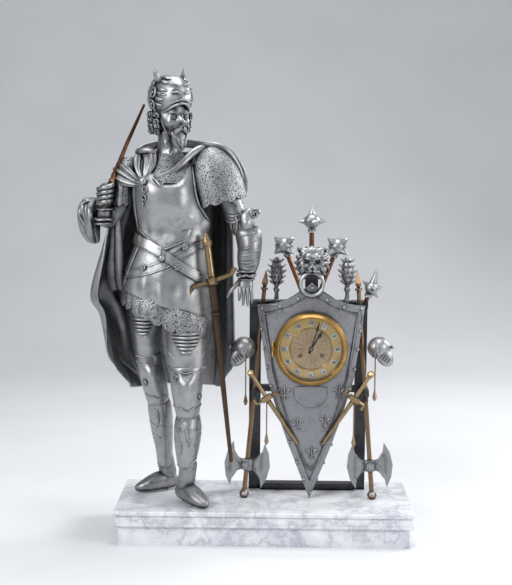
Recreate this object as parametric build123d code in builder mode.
"""Figural mantel clock: a knight in armour beside a shield-shaped clock front with a trophy of arms.

Millimetres, +Z up. The front faces -Y, +X is to the viewer's right. The origin is the middle of the
base's underside.
"""
import os
from math import atan2, cos, degrees, pi, radians, sin, sqrt

from build123d import *

os.makedirs("parts", exist_ok=True)

# Marble base
base_w = 545.0
base_d = 215.0
slab_h = 29.0
plinth_h = 36.0
plinth_inset = 8.0
top_roll_h = 7.5
low_roll_h = 6.0
groove_h = 1.5
groove_inset = 2.5
roll_inset = 1.0
base_h = slab_h + plinth_h

# Tie rods through the marble
rod_r = 3.0
rod_hole_r = 3.5
rod_reach = 12.0
nut_r = 6.0
nut_h = 5.0
washer_r = 9.0
washer_t = 1.5
recess_r = 11.0
recess_h = 14.0

# Knight: the height from the marble to the tip of the helmet's horn sets every part of the figure
figure_h = 784.0
figure_x = -165.0
figure_y = -5.0
casting_wall = 4.0
plate_wall = 3.0
seam_gap = 0.3
head_turn = 32.0
belt_h = 13.0
belt_t = 2.5
rosette_r = 7.0
cape_t = 5.0

# Clock: the place of the dial's centre
clock_x = 84.5
dial_z = 349.5

# Shield
shield_w = 200.6
shield_h = 362.6
shield_cusp_h = 46.0
shield_tip_z = 65.0
shield_bow_r = 250.0
shield_t = 6.0
shield_front_y = -8.0
border_w = 12.0
border_t = 2.0
escutcheon_w = 60.0
escutcheon_h = 40.0
escutcheon_t = 1.6
escutcheon_drop = 90.0

# Drum case and its back door
drum_r = 64.0
drum_wall = 2.0
drum_front_y = -12.0
drum_back_y = 75.0
drum_fit = 0.3
door_t = 2.0
door_lip = 6.0
knuckle_r = 2.5
knuckle_h = 9.0
hinge_pin_r = 1.0
hinge_reach = 4.0

# Bezel, glass and dial
bezel_r = 68.0
bezel_sight_r = 58.4
bezel_front_y = -26.0
bezel_lip_t = 2.0
bezel_gap = 0.3
glass_t = 1.4
glass_r = 59.5
glass_fit = 0.2
flange_t = 3.8
dial_r = 61.6
dial_t = 1.2
dial_y = -11.0
chapter_in_r = 38.0
centre_zone_t = 0.5
winding_hole_r = 4.3
winding_x = 20.3
winding_drop = 12.4
numeral_r = 48.6
cartouche_w = 9.4
cartouche_h = 11.6
cartouche_t = 0.8
dial_foot_r = 1.5
dial_foot_pcd_r = 40.0
dial_foot_angles = (60.0, 180.0, 300.0)
centre_hole_r = 4.0

# Hands
minute_length = 55.0
hour_length = 40.0
hand_t = 0.7
hand_w = 2.2
hand_tail = 9.0
hand_boss_r = 3.6
minute_y = -16.2
hour_y = -14.0
minute_angle = 16.5
hour_angle = 31.4

# Movement plates
plate_r = 46.0
plate_t = 2.0
front_plate_y = 2.0
back_plate_y = 34.0
pillar_r = 2.8
pillar_pcd_r = 42.0
pillar_tip_r = 1.6
pivot_fit = 0.05
pillar_angles = (20.0, 160.0, 250.0, 290.0)

# Wheels: tooth counts and modules of the going train and the motion work
barrel_teeth = 54
centre_pinion_teeth = 12
centre_teeth = 60
third_pinion_teeth = 10
third_teeth = 60
escape_pinion_teeth = 10
escape_teeth = 30
cannon_teeth = 12
minute_wheel_teeth = 36
minute_pinion_teeth = 10
hour_wheel_teeth = 40
third_module = 0.5
escape_module = 0.42
motion_reach = 12.0
wheel_t = 1.2
pinion_t = 4.4
addendum_share = 0.72
dedendum_share = 1.15
third_bearing = 70.0
minute_wheel_bearing = 135.0
escape_r = 8.6
escape_tooth_h = 2.2
anchor_gap = 0.6
anchor_t = 1.6

# Arbors
arbor_r = 1.0
pivot_r = 0.7
barrel_r = 18.0
barrel_y = 8.0
barrel_h = 16.0
barrel_wheel_t = 2.5
barrel_arbor_r = 2.0
barrel_pivot_r = 1.6
square_side = 2.6
square_y = -10.4
cannon_r = 1.6
hour_pipe_r = 2.6

# Pendulum, suspension and bell
suspension_y = 40.0
pendulum_length = 136.0
pendulum_rod_r = 1.2
bob_r = 15.0
bob_t = 7.0
crutch_length = 24.0
bell_r = 34.0
bell_h = 13.0
bell_t = 1.6
bell_y = 60.0
bell_post_r = 2.4
hammer_r = 3.2

# Rear frame that carries the shield, drum and trophy
post_w = 22.0
post_t = 14.0
post_y = 58.0
post_left_x = -20.0
post_right_x = 181.0
upper_bar_z = 420.0
lower_bar_z = 256.0
bar_h = 12.0
shelf_d = 30.0
foot_plate_h = 13.0
arm_w = 14.0
arm_h = 12.0
collar_t = 3.0
tongue_w = 24.0
tongue_t = 8.0

# Trophy of arms
shaft_r = 4.4
finial_l = 36.0
mace_r = 14.5
side_mace_r = 16.0
club_r = 13.0
spike_l = 9.5
spike_r = 3.0
mace_y = 42.0
cone_mace_r = 12.0
axe_w = 86.0
axe_h = 84.0
axe_t = 5.0
dagger_r = 4.6
small_helm_r = 21.0
tassel_r = 4.2
lion_w = 58.0
lion_h = 56.0
lion_t = 20.0
ring_y = -14.0
ring_top_z = 492.0
ring_r = 21.0
ring_tube_r = 3.4

overrun = 1.0


# Helpers: planes, rings and rods


def clock_plane(y):
    """Plane across the clock at depth y, local x to the viewer's right and local y up, facing the front."""
    return Plane(origin=(clock_x, y, dial_z), x_dir=(1, 0, 0), z_dir=(0, -1, 0))


def polar(radius, angle):
    return (radius * cos(radians(angle)), radius * sin(radians(angle)))


def oval(rx, ry, sides, power=2.0, start=0.0):
    """Corner points of a rounded polygon between an ellipse (power 2) and a box."""
    points = []
    for i in range(sides):
        a = 2 * pi * (i + start) / sides
        c = cos(a)
        s = sin(a)
        x = rx * (abs(c) ** (2 / power)) * (1 if c >= 0 else -1)
        y = ry * (abs(s) ** (2 / power)) * (1 if s >= 0 else -1)
        points.append((x, y))
    return points


def ring_loft(frame, rows, unit, sides=12, power=2.2, inset=0.0, along=False, mode=Mode.ADD):
    """Faceted body through rings; a row is (x, y, z, half width, half depth) in shares of unit."""
    sections = []
    centres = [Vector(row[0], row[1], row[2]) * unit for row in rows]
    for i, row in enumerate(rows):
        normal = Vector(0, 0, 1)
        if along:
            before = centres[max(i - 1, 0)]
            after = centres[min(i + 1, len(rows) - 1)]
            normal = (after - before).normalized()
        side = Vector(1, 0, 0) if abs(normal.X) < 0.9 else Vector(0, 0, -1)
        side = (side - normal * side.dot(normal)).normalized()
        origin = frame.from_local_coords(centres[i])
        tip = frame.from_local_coords(centres[i] + normal)
        right = frame.from_local_coords(centres[i] + side)
        plane = Plane(origin=origin, x_dir=right - origin, z_dir=tip - origin)
        with BuildSketch(plane) as ring:
            Polygon(*oval(row[3] * unit - inset, row[4] * unit - inset, sides, power))
        sections.append(ring.sketch)
    loft(sections, ruled=True, mode=mode)


def rod(start, end, start_r, end_r, mode=Mode.ADD):
    """Round straight or tapered rod between two points."""
    start = Vector(*start)
    end = Vector(*end)
    axis = (end - start).normalized()
    with BuildSketch(Plane(origin=start, z_dir=axis)) as first:
        Circle(start_r)
    with BuildSketch(Plane(origin=end, z_dir=axis)) as last:
        Circle(end_r)
    loft([first.sketch, last.sketch], ruled=True, mode=mode)


def bar(start, end, start_r, end_r, sides=6, mode=Mode.ADD):
    """Faceted straight or tapered bar between two points."""
    start = Vector(*start)
    end = Vector(*end)
    axis = (end - start).normalized()
    with BuildSketch(Plane(origin=start, z_dir=axis)) as first:
        RegularPolygon(start_r, sides)
    with BuildSketch(Plane(origin=end, z_dir=axis)) as last:
        RegularPolygon(end_r, sides)
    loft([first.sketch, last.sketch], ruled=True, mode=mode)


def disc(place, radius, front_y, back_y, mode=Mode.ADD):
    """Round disc or pin along the clock's depth, placed from the dial's centre."""
    with BuildSketch(clock_plane(back_y)) as face:
        with Locations(place):
            Circle(radius)
    extrude(face.sketch, amount=back_y - front_y, mode=mode)


def save(name, label):
    name.part.label = label
    export_step(name.part, "parts/" + label + ".step")


figure = Plane(origin=(figure_x, figure_y, base_h), x_dir=(1, 0, 0), z_dir=(0, 0, 1))


def figure_point(x, y, z):
    """Point of the figure, given in shares of its height."""
    return figure.from_local_coords(Vector(x, y, z) * figure_h)


# Marble base

# heel of each boot and foot of each post: where the tie rods stand
rod_places = [
    (figure_x + figure_h * 0.020, figure_y - figure_h * 0.038),
    (figure_x - figure_h * 0.028, figure_y + figure_h * 0.058),
    (post_left_x, post_y),
    (post_right_x, post_y),
]


def base_slab():
    """Slab with a top roll, a groove, a plain waist and a lower roll."""
    waist_h = slab_h - top_roll_h - groove_h - low_roll_h
    with BuildPart() as slab:
        with BuildSketch(Plane.XY.offset(plinth_h)):
            Rectangle(base_w - 2 * roll_inset, base_d - 2 * roll_inset)
        extrude(amount=low_roll_h)
        chamfer(slab.edges().filter_by(Plane.XY), low_roll_h * 0.28)
        with BuildSketch(Plane.XY.offset(plinth_h + low_roll_h)):
            Rectangle(base_w - 2 * groove_inset - 2 * roll_inset, base_d - 2 * groove_inset - 2 * roll_inset)
        extrude(amount=waist_h)
        with BuildSketch(Plane.XY.offset(plinth_h + low_roll_h + waist_h)):
            Rectangle(base_w - 4 * groove_inset, base_d - 4 * groove_inset)
        extrude(amount=groove_h)
        with BuildSketch(Plane.XY.offset(base_h - top_roll_h)):
            Rectangle(base_w, base_d)
        extrude(amount=top_roll_h)
        top_edges = slab.edges().filter_by(Plane.XY).group_by(Axis.Z)
        chamfer(top_edges[-1], top_roll_h * 0.3)
        with Locations(*[Location((x, y, base_h)) for x, y in rod_places]):
            Hole(rod_hole_r)
    save(slab, "base_slab")


def base_plinth():
    """Plinth block, with a recess under each tie rod for its nut and washer."""
    with BuildPart() as plinth:
        with BuildSketch():
            Rectangle(base_w - 2 * plinth_inset, base_d - 2 * plinth_inset)
        extrude(amount=plinth_h)
        for x, y in rod_places:
            with BuildSketch():
                with Locations((x, y)):
                    Circle(recess_r)
            extrude(amount=recess_h, mode=Mode.SUBTRACT)
        with Locations(*[Location((x, y, plinth_h)) for x, y in rod_places]):
            Hole(rod_hole_r)
    save(plinth, "base_plinth")


def tie_rods():
    """Four threaded rods, each with its washer and nut under the marble."""
    with BuildPart() as rods:
        for x, y in rod_places:
            with BuildSketch(Plane.XY.offset(recess_h - washer_t - nut_h - washer_t)):
                with Locations((x, y)):
                    Circle(rod_r)
            extrude(amount=base_h + rod_reach - recess_h + washer_t + nut_h + washer_t)
            with BuildSketch(Plane.XY.offset(recess_h - washer_t)):
                with Locations((x, y)):
                    Circle(washer_r)
            extrude(amount=washer_t)
            with BuildSketch(Plane.XY.offset(recess_h - washer_t - nut_h)):
                with Locations((x, y)):
                    RegularPolygon(nut_r, 6)
            extrude(amount=nut_h)
    save(rods, "tie_rods")


# Knight's armour, cast in sections. Every row is in shares of figure_h.

cuirass_shares = [
    (-0.0025, 0.000, 0.5920, 0.0905, 0.0640),
    (-0.0013, 0.000, 0.6220, 0.0855, 0.0600),
    (-0.0010, 0.000, 0.6454, 0.0850, 0.0590),
    (0.0014, -0.002, 0.6691, 0.0885, 0.0640),
    (0.0005, -0.004, 0.6996, 0.0940, 0.0700),
    (-0.0030, -0.004, 0.7344, 0.0975, 0.0725),
    (-0.0055, -0.001, 0.7691, 0.0930, 0.0670),
    (-0.0081, 0.003, 0.7990, 0.0745, 0.0510),
    (-0.0120, 0.006, 0.8150, 0.0500, 0.0400),
]
keel_share = 0.012


def keeled(row, unit, inset, sides=16):
    """Ring of the breastplate, with its keel drawn forward in the middle of the front."""
    points = []
    for x, y in oval(row[3] * unit - inset, row[4] * unit - inset, sides, 2.4):
        if y < 0:
            y = y - keel_share * unit * max(0.0, 1 - abs(x) / (row[3] * unit * 0.75))
        points.append((x, y))
    return points


def cuirass_body(rows, inset, mode):
    sections = []
    for row in rows:
        origin = figure_point(row[0], row[1], row[2])
        with BuildSketch(Plane(origin=origin, x_dir=(1, 0, 0), z_dir=(0, 0, 1))) as ring:
            Polygon(*keeled(row, figure_h, inset))
        sections.append(ring.sketch)
    loft(sections, ruled=True, mode=mode)


with BuildPart() as torso:
    cuirass_body(cuirass_shares, 0, Mode.ADD)


def cuirass():
    """Breast and back plate, one hollow casting open at the waist."""
    with BuildPart() as plate:
        cuirass_body(cuirass_shares, 0, Mode.ADD)
        cuirass_body(cuirass_shares[:-1], casting_wall, Mode.SUBTRACT)
    save(plate, "cuirass")


cuirass()
base_slab()
base_plinth()
tie_rods()


# Shield: an outline cut from sheets that bow about an upright axis


def shield_outline(inset):
    """Heater shield seen from the front, from its tip to the cusp of its top edge."""
    half = shield_w / 2
    tip = shield_tip_z - dial_z
    top = tip + shield_h
    cusp = top + shield_cusp_h
    knee = (half * 0.409, tip + shield_h * 0.288)
    belly = (half * 0.618, tip + shield_h * 0.456)
    flank = (half * 0.807, tip + shield_h * 0.625)
    shoulder = (half * 0.449, top + shield_cusp_h * 0.29)
    with BuildSketch(clock_plane(drum_back_y)) as outline:
        with BuildLine():
            Line((0, tip), knee)
            ThreePointArc(knee, belly, flank)
            Line(flank, (half, top))
            ThreePointArc((half, top), shoulder, (0, cusp))
            mirror(about=Plane.YZ)
        make_face()
        if inset:
            offset(amount=-inset, kind=Kind.INTERSECTION, mode=Mode.REPLACE)
    return outline.sketch


def bowed(outline, front_y, thickness):
    """The outline's part of a bowed sheet whose middle line lies at front_y."""
    with BuildPart() as sheet:
        extrude(outline, amount=drum_back_y - bezel_front_y)
        outer_r = shield_bow_r + shield_front_y - front_y
        with BuildSketch() as ring:
            with Locations((clock_x, shield_front_y + shield_bow_r)):
                Circle(outer_r)
                Circle(outer_r - thickness, mode=Mode.SUBTRACT)
        extrude(ring.sketch, amount=shield_tip_z + shield_h + shield_cusp_h * 2, mode=Mode.INTERSECT)
    return sheet.part


shield_sheet = bowed(shield_outline(0), shield_front_y, shield_t)
border_sheet = bowed(shield_outline(0), shield_front_y - border_t, border_t + shield_t / 2)
field_sheet = bowed(shield_outline(border_w), shield_front_y - border_t, border_t)

with BuildSketch(clock_plane(drum_back_y)) as escutcheon_outline:
    with BuildLine():
        Line((0, -escutcheon_drop + escutcheon_h / 2), (escutcheon_w / 2, -escutcheon_drop + escutcheon_h * 0.42))
        Line((escutcheon_w / 2, -escutcheon_drop + escutcheon_h * 0.42), (escutcheon_w / 2, -escutcheon_drop))
        ThreePointArc(
            (escutcheon_w / 2, -escutcheon_drop),
            (escutcheon_w * 0.34, -escutcheon_drop - escutcheon_h * 0.32),
            (0, -escutcheon_drop - escutcheon_h / 2),
        )
        mirror(about=Plane.YZ)
    make_face()
escutcheon_sheet = bowed(escutcheon_outline.sketch, shield_front_y - escutcheon_t, escutcheon_t + shield_t / 2)


def shield():
    """Bowed shield with a raised border, a blank escutcheon and the dial's opening."""
    with BuildPart() as plate:
        add(border_sheet)
        add(field_sheet, mode=Mode.SUBTRACT)
        add(shield_sheet)
        add(escutcheon_sheet)
        disc((0, 0), drum_r + drum_fit, bezel_front_y, drum_back_y, Mode.SUBTRACT)
        disc((0, 0), bezel_r + drum_fit, bezel_front_y, drum_front_y + flange_t, Mode.SUBTRACT)
    save(plate, "shield")
    return plate


# Drum case, back door, bezel and glass

hinge_x = drum_r + hinge_reach
door_y = drum_back_y + drum_fit
door_axis_y = door_y + door_t / 2
bezel_back_y = drum_front_y - bezel_gap
bezel_axis_x = -(bezel_r + knuckle_r + bezel_gap * 2)
bezel_axis_y = bezel_back_y - knuckle_r
glass_front_y = bezel_front_y + bezel_lip_t


def upright(x, y, radius, low, high, mode=Mode.ADD):
    """Upright pin beside the clock, from low to high measured from the dial's centre."""
    with BuildSketch(Plane.XY.offset(dial_z + low)) as face:
        with Locations((clock_x + x, y)):
            Circle(radius)
    extrude(face.sketch, amount=high - low, mode=mode)


def block(x, y, z, mode=Mode.ADD):
    """Block between pairs of sizes, measured from the dial's centre across and up, and from y = 0 in depth."""
    with BuildSketch(Plane.XY.offset(dial_z + z[0])) as face:
        with Locations((clock_x + (x[0] + x[1]) / 2, (y[0] + y[1]) / 2)):
            Rectangle(x[1] - x[0], y[1] - y[0])
    extrude(face.sketch, amount=z[1] - z[0], mode=mode)


def drum_case():
    """Drum with a front flange, a slot for the pendulum and the fixed knuckles of both hinges."""
    slot_half = pendulum_rod_r * 9
    with BuildPart() as drum:
        disc((0, 0), drum_r, drum_front_y, drum_back_y)
        disc((0, 0), bezel_r, drum_front_y, drum_front_y + flange_t)
        disc((0, 0), drum_r - drum_wall, drum_front_y - overrun, drum_back_y + overrun, Mode.SUBTRACT)
        block((-slot_half, slot_half), (suspension_y - bob_t, suspension_y + bob_t), (-drum_r - overrun, 0), Mode.SUBTRACT)
        for side in (-1, 1):
            span = sorted((side * (knuckle_h / 2 + bezel_gap), side * (knuckle_h * 1.5)))
            block((drum_r - drum_wall, hinge_x), (drum_back_y - door_t * 2, drum_back_y), span)
            upright(hinge_x, door_axis_y, knuckle_r, span[0], span[1])
            block((bezel_axis_x, -drum_r), (drum_front_y, drum_front_y + flange_t), span)
            block((bezel_axis_x - knuckle_r, bezel_axis_x), (bezel_axis_y, drum_front_y + flange_t), span)
            upright(bezel_axis_x, bezel_axis_y, knuckle_r, span[0], span[1])
        upright(hinge_x, door_axis_y, hinge_pin_r, -knuckle_h * 1.5, knuckle_h * 1.5)
        upright(bezel_axis_x, bezel_axis_y, hinge_pin_r, -knuckle_h * 1.5, knuckle_h * 1.5)
    save(drum, "drum_case")


def back_door():
    """Round back door with a lip inside the drum and the moving knuckle of its hinge."""
    lip_r = drum_r - drum_wall - drum_fit
    with BuildPart() as door:
        disc((0, 0), drum_r, door_y, door_y + door_t)
        disc((0, 0), lip_r, door_y - door_lip + door_t, door_y)
        disc((0, 0), lip_r - door_t, door_y - door_lip, door_y, Mode.SUBTRACT)
        block((drum_r - door_t, hinge_x), (door_y, door_y + door_t), (-knuckle_h / 2, knuckle_h / 2))
        upright(hinge_x, door_axis_y, knuckle_r, -knuckle_h / 2, knuckle_h / 2)
        upright(hinge_x, door_axis_y, hinge_pin_r + pivot_fit, -knuckle_h, knuckle_h, Mode.SUBTRACT)
    save(door, "back_door")


def bezel():
    """Turned bezel: a stepped ring with a lip in front of the glass and the moving knuckle of its hinge."""
    depth = bezel_back_y - bezel_front_y
    with BuildPart() as ring:
        with BuildSketch(Plane.YZ.offset(clock_x)) as profile:
            with BuildLine():
                Polyline(
                    (bezel_back_y, dial_z + glass_r + glass_fit),
                    (glass_front_y, dial_z + glass_r + glass_fit),
                    (glass_front_y, dial_z + bezel_sight_r),
                    (bezel_front_y, dial_z + bezel_sight_r + bezel_lip_t / 2),
                    (bezel_front_y, dial_z + bezel_r - depth * 0.45),
                    (bezel_front_y + depth * 0.3, dial_z + bezel_r - depth * 0.16),
                    (bezel_back_y - depth * 0.3, dial_z + bezel_r),
                    (bezel_back_y, dial_z + bezel_r),
                    close=True,
                )
            make_face()
        revolve(profile.sketch, axis=Axis((clock_x, 0, dial_z), (0, 1, 0)))
        block((bezel_axis_x, -bezel_r + bezel_lip_t), (bezel_axis_y - knuckle_r, bezel_back_y), (-knuckle_h / 2, knuckle_h / 2))
        upright(bezel_axis_x, bezel_axis_y, knuckle_r, -knuckle_h / 2, knuckle_h / 2)
        upright(bezel_axis_x, bezel_axis_y, hinge_pin_r + pivot_fit, -knuckle_h, knuckle_h, Mode.SUBTRACT)
    save(ring, "bezel")


def bezel_glass():
    with BuildPart() as glass:
        disc((0, 0), glass_r, glass_front_y, glass_front_y + glass_t)
    save(glass, "bezel_glass")


# Dial and hands


def dial_plate():
    """Gilt dial with a raised chapter ring, winding holes and three feet that pin into the front plate."""
    with BuildPart() as dial:
        disc((0, 0), dial_r, dial_y, dial_y + dial_t)
        disc((0, 0), chapter_in_r, dial_y - overrun, dial_y + centre_zone_t, Mode.SUBTRACT)
        disc((0, 0), centre_hole_r, dial_y - overrun, dial_y + dial_t + overrun, Mode.SUBTRACT)
        for side in (-1, 1):
            place = (side * winding_x, -winding_drop)
            disc(place, winding_hole_r, dial_y - overrun, dial_y + dial_t + overrun, Mode.SUBTRACT)
        for angle in dial_foot_angles:
            disc(polar(dial_foot_pcd_r, angle), dial_foot_r, dial_y + dial_t, front_plate_y + plate_t)
    save(dial, "dial_plate")


def dial_cartouches():
    """Twelve enamel plaques for the hours on the chapter ring."""
    with BuildPart() as plaques:
        with BuildSketch(clock_plane(dial_y)) as face:
            with PolarLocations(numeral_r, 12):
                RectangleRounded(cartouche_h, cartouche_w, cartouche_w * 0.22)
        extrude(face.sketch, amount=cartouche_t)
    save(plaques, "dial_cartouches")


def hand(label, length, angle, front_y, bore_r, width):
    """Slim pierced hand, drawn pointing at twelve and turned clockwise to its angle."""
    with BuildPart() as pointer:
        with BuildSketch(clock_plane(front_y + hand_t)) as blade:
            with BuildLine():
                Polyline(
                    (-width / 2, 0),
                    (-width * 0.35, length * 0.62),
                    (-width, length * 0.72),
                    (0, length),
                    (width, length * 0.72),
                    (width * 0.35, length * 0.62),
                    (width / 2, 0),
                    (width * 0.8, -hand_tail),
                    (-width * 0.8, -hand_tail),
                    close=True,
                )
            make_face()
            Circle(hand_boss_r)
            Circle(bore_r, mode=Mode.SUBTRACT)
        turned = blade.sketch.rotate(Axis((clock_x, 0, dial_z), (0, 1, 0)), angle)
        extrude(turned, amount=hand_t)
    save(pointer, label)


# Movement: toothed wheels with straight-flanked teeth, thinned for running play


def toothed(place, teeth, module, bearing, front_y, back_y, leaf=False):
    """Toothed wheel or leaf pinion; one tooth points along bearing."""
    pitch_r = teeth * module / 2
    tip_r = pitch_r + addendum_share * module
    root_r = pitch_r - dedendum_share * module
    half = 180 / teeth * (0.36 if leaf else 0.42)
    root_half = half if leaf else half * 1.2
    tip_half = half * 0.5
    points = []
    for i in range(teeth):
        middle = bearing + 360 * i / teeth
        points.append(polar(root_r, middle - root_half))
        points.append(polar(tip_r, middle - tip_half))
        points.append(polar(tip_r, middle + tip_half))
        points.append(polar(root_r, middle + root_half))
    with BuildSketch(clock_plane(back_y)) as face:
        with Locations(place):
            Polygon(*points)
    extrude(face.sketch, amount=back_y - front_y)


barrel_module = 2 * sqrt(winding_x ** 2 + winding_drop ** 2) / (barrel_teeth + centre_pinion_teeth)
cannon_module = 2 * motion_reach / (cannon_teeth + minute_wheel_teeth)
hour_module = 2 * motion_reach / (minute_pinion_teeth + hour_wheel_teeth)
third_place = polar(third_module * (centre_teeth + third_pinion_teeth) / 2, third_bearing)
escape_reach = escape_module * (third_teeth + escape_pinion_teeth) / 2
escape_place = (0, third_place[1] + sqrt(escape_reach ** 2 - third_place[0] ** 2))
anchor_place = (0, escape_place[1] + escape_r * sqrt(2))
escape_bearing = degrees(atan2(escape_place[1] - third_place[1], -third_place[0]))
going_place = (winding_x, -winding_drop)
strike_place = (-winding_x, -winding_drop)
going_bearing = degrees(atan2(-winding_drop, winding_x))
minute_place = polar(motion_reach, minute_wheel_bearing)
hammer_place = polar(plate_r * 0.9, 30)
bell_place = (-plate_r * 0.26, plate_r * 0.09)

barrel_wheel_y = barrel_y + barrel_h
centre_wheel_y = back_plate_y - plate_t * 2
third_wheel_y = front_plate_y + plate_t + barrel_y
escape_wheel_y = back_plate_y - plate_t * 2
inner_front_y = front_plate_y + plate_t
rear_y = back_plate_y + plate_t


def plate_holes(front_y, back_y):
    """Pivot holes that both plates share."""
    low = front_y - overrun
    high = back_y + overrun
    disc((0, 0), arbor_r + pivot_fit, low, high, Mode.SUBTRACT)
    disc(third_place, pivot_r + pivot_fit, low, high, Mode.SUBTRACT)
    disc(escape_place, pivot_r + pivot_fit, low, high, Mode.SUBTRACT)
    disc(anchor_place, pivot_r + pivot_fit, low, high, Mode.SUBTRACT)
    disc(hammer_place, pivot_r + pivot_fit, low, high, Mode.SUBTRACT)
    disc(going_place, barrel_pivot_r + pivot_fit, low, high, Mode.SUBTRACT)
    disc(strike_place, barrel_pivot_r + pivot_fit, low, high, Mode.SUBTRACT)


def front_plate():
    """Front movement plate with the pillars' holes, the dial feet's holes and the minute wheel's stud."""
    with BuildPart() as plate:
        disc((0, 0), plate_r, front_plate_y, inner_front_y)
        plate_holes(front_plate_y, inner_front_y)
        for angle in pillar_angles:
            disc(polar(pillar_pcd_r, angle), pillar_tip_r + pivot_fit, front_plate_y - overrun, inner_front_y + overrun, Mode.SUBTRACT)
        for angle in dial_foot_angles:
            disc(polar(dial_foot_pcd_r, angle), dial_foot_r + pivot_fit, front_plate_y - overrun, inner_front_y + overrun, Mode.SUBTRACT)
        disc(minute_place, pivot_r, front_plate_y - pinion_t - wheel_t, front_plate_y)
    save(plate, "front_plate")


def back_plate():
    """Back movement plate with riveted pillars, the suspension cock and the bell's post."""
    cock_z = anchor_place[1] + pendulum_rod_r * 3
    with BuildPart() as plate:
        disc((0, 0), plate_r, back_plate_y, rear_y)
        plate_holes(back_plate_y, rear_y)
        for angle in pillar_angles:
            place = polar(pillar_pcd_r, angle)
            disc(place, pillar_r, inner_front_y, back_plate_y)
            disc(place, pillar_tip_r, front_plate_y - plate_t / 2, inner_front_y)
        cock_half = pendulum_rod_r * 3
        block((-cock_half, cock_half), (rear_y - plate_t, suspension_y + cock_half), (cock_z, cock_z + cock_half))
        block((-cock_half, cock_half), (back_plate_y, rear_y), (anchor_place[1] + pivot_r * 2, cock_z))
        disc(bell_place, bell_post_r, rear_y, bell_y + bell_t * 3)
    save(plate, "back_plate")


def barrel(label, place, bearing, wheel_y):
    """Mainspring barrel with its great wheel, bored for the winding arbor."""
    low = barrel_y - barrel_wheel_t - overrun
    high = barrel_wheel_y + barrel_wheel_t + overrun
    with BuildPart() as drum:
        disc(place, barrel_r, barrel_y, barrel_wheel_y)
        toothed(place, barrel_teeth, barrel_module, bearing, wheel_y, wheel_y + barrel_wheel_t)
        disc(place, barrel_arbor_r + pivot_fit, low, high, Mode.SUBTRACT)
    save(drum, label)


def winding_arbor(label, place):
    """Barrel arbor: pivots in both plates and a square for the key behind the dial's hole."""
    with BuildPart() as arbor:
        disc(place, barrel_arbor_r, inner_front_y + bezel_gap, back_plate_y - bezel_gap)
        disc(place, barrel_pivot_r, front_plate_y - bezel_gap, rear_y + bezel_gap)
        with BuildSketch(clock_plane(front_plate_y - bezel_gap)) as face:
            with Locations(place):
                Rectangle(square_side, square_side)
        extrude(face.sketch, amount=front_plate_y - bezel_gap - square_y)
    save(arbor, label)


def centre_wheel():
    """Centre arbor with its wheel and the pinion that the going barrel drives."""
    with BuildPart() as wheel:
        disc((0, 0), arbor_r, minute_y, rear_y + bezel_gap)
        toothed((0, 0), centre_teeth, third_module, third_bearing, centre_wheel_y, centre_wheel_y + wheel_t)
        toothed(
            (0, 0), centre_pinion_teeth, barrel_module, going_bearing + 180 / centre_pinion_teeth,
            barrel_wheel_y - wheel_t, centre_wheel_y, True,
        )
    save(wheel, "centre_wheel")


def third_wheel():
    with BuildPart() as wheel:
        disc(third_place, arbor_r, inner_front_y + bezel_gap, back_plate_y - bezel_gap)
        disc(third_place, pivot_r, front_plate_y, rear_y)
        toothed(third_place, third_teeth, escape_module, escape_bearing, third_wheel_y, third_wheel_y + wheel_t)
        toothed(
            third_place, third_pinion_teeth, third_module, third_bearing + 180 + 180 / third_pinion_teeth,
            centre_wheel_y - wheel_t, back_plate_y - wheel_t, True,
        )
    save(wheel, "third_wheel")


def escape_wheel():
    """Escape wheel with raked pointed teeth, on its pinion's arbor."""
    points = []
    for i in range(escape_teeth):
        middle = 90 + 360 * (i + 0.5) / escape_teeth
        points.append(polar(escape_r - escape_tooth_h, middle - 180 / escape_teeth))
        points.append(polar(escape_r, middle - 45 / escape_teeth))
        points.append(polar(escape_r - escape_tooth_h, middle + 45 / escape_teeth))
    with BuildPart() as wheel:
        disc(escape_place, arbor_r, inner_front_y + bezel_gap, back_plate_y - bezel_gap)
        disc(escape_place, pivot_r, front_plate_y, rear_y)
        with BuildSketch(clock_plane(escape_wheel_y + wheel_t)) as face:
            with Locations(escape_place):
                Polygon(*points)
        extrude(face.sketch, amount=wheel_t)
        toothed(
            escape_place, escape_pinion_teeth, escape_module, escape_bearing + 180 + 180 / escape_pinion_teeth,
            third_wheel_y - wheel_t, third_wheel_y + wheel_t * 2, True,
        )
    save(wheel, "escape_wheel")


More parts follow.
